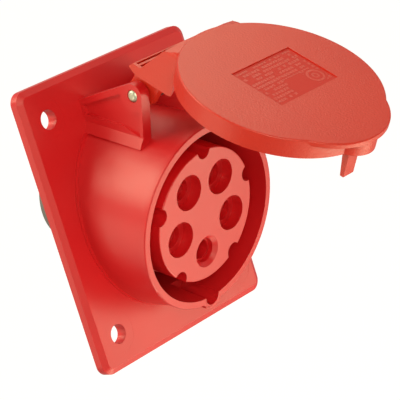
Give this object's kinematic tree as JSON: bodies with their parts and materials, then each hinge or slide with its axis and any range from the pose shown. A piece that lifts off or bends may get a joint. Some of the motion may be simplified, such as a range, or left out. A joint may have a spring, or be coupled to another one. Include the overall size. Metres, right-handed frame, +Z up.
{
  "type": "industrial panel socket",
  "caption": "Angled round power socket on a rectangular panel flange, with a hinged sealing lid, a keyed collar and a contact insert.",
  "frame": {"origin": "centre of the flange's back face, on the face that meets the panel", "axes": "+X to the right seen from the front, +Y into the panel, +Z up"},
  "size_m": [0.08, 0.1366, 0.0994],
  "materials": {
    "red_plastic": "gloss, moulded",
    "grey_plastic": "matt, moulded",
    "black_rubber": "soft matt",
    "brass": "turned",
    "zinc_steel": "zinc plated",
    "spring_steel": "drawn wire"
  },
  "bodies": {
    "base": {"housing": "red_plastic", "flange_seal": "black_rubber", "contact_carrier": "red_plastic", "terminal_carrier": "grey_plastic", "carrier_screw": "zinc_steel", "hinge_pin": "zinc_steel", "lid_spring": "spring_steel", "contact_earth": "brass", "clip_earth": "spring_steel", "terminal_screw_earth": "zinc_steel", "contact_l1": "brass", "clip_l1": "spring_steel", "terminal_screw_l1": "zinc_steel", "contact_l2": "brass", "clip_l2": "spring_steel", "terminal_screw_l2": "zinc_steel", "contact_l3": "brass", "clip_l3": "spring_steel", "terminal_screw_l3": "zinc_steel", "contact_neutral": "brass", "clip_neutral": "spring_steel", "terminal_screw_neutral": "zinc_steel"},
    "cover": {"lid": "red_plastic", "lid_seal": "black_rubber"}
  },
  "joints": [
    {"name": "lid_hinge", "type": "hinge", "parent": "base", "child": "cover", "pos_m": [0, -0.02886, 0.03723], "axis": [1, 0, 0], "range_deg": [-78, 74.2], "deforming": ["lid_spring"]}
  ]
}
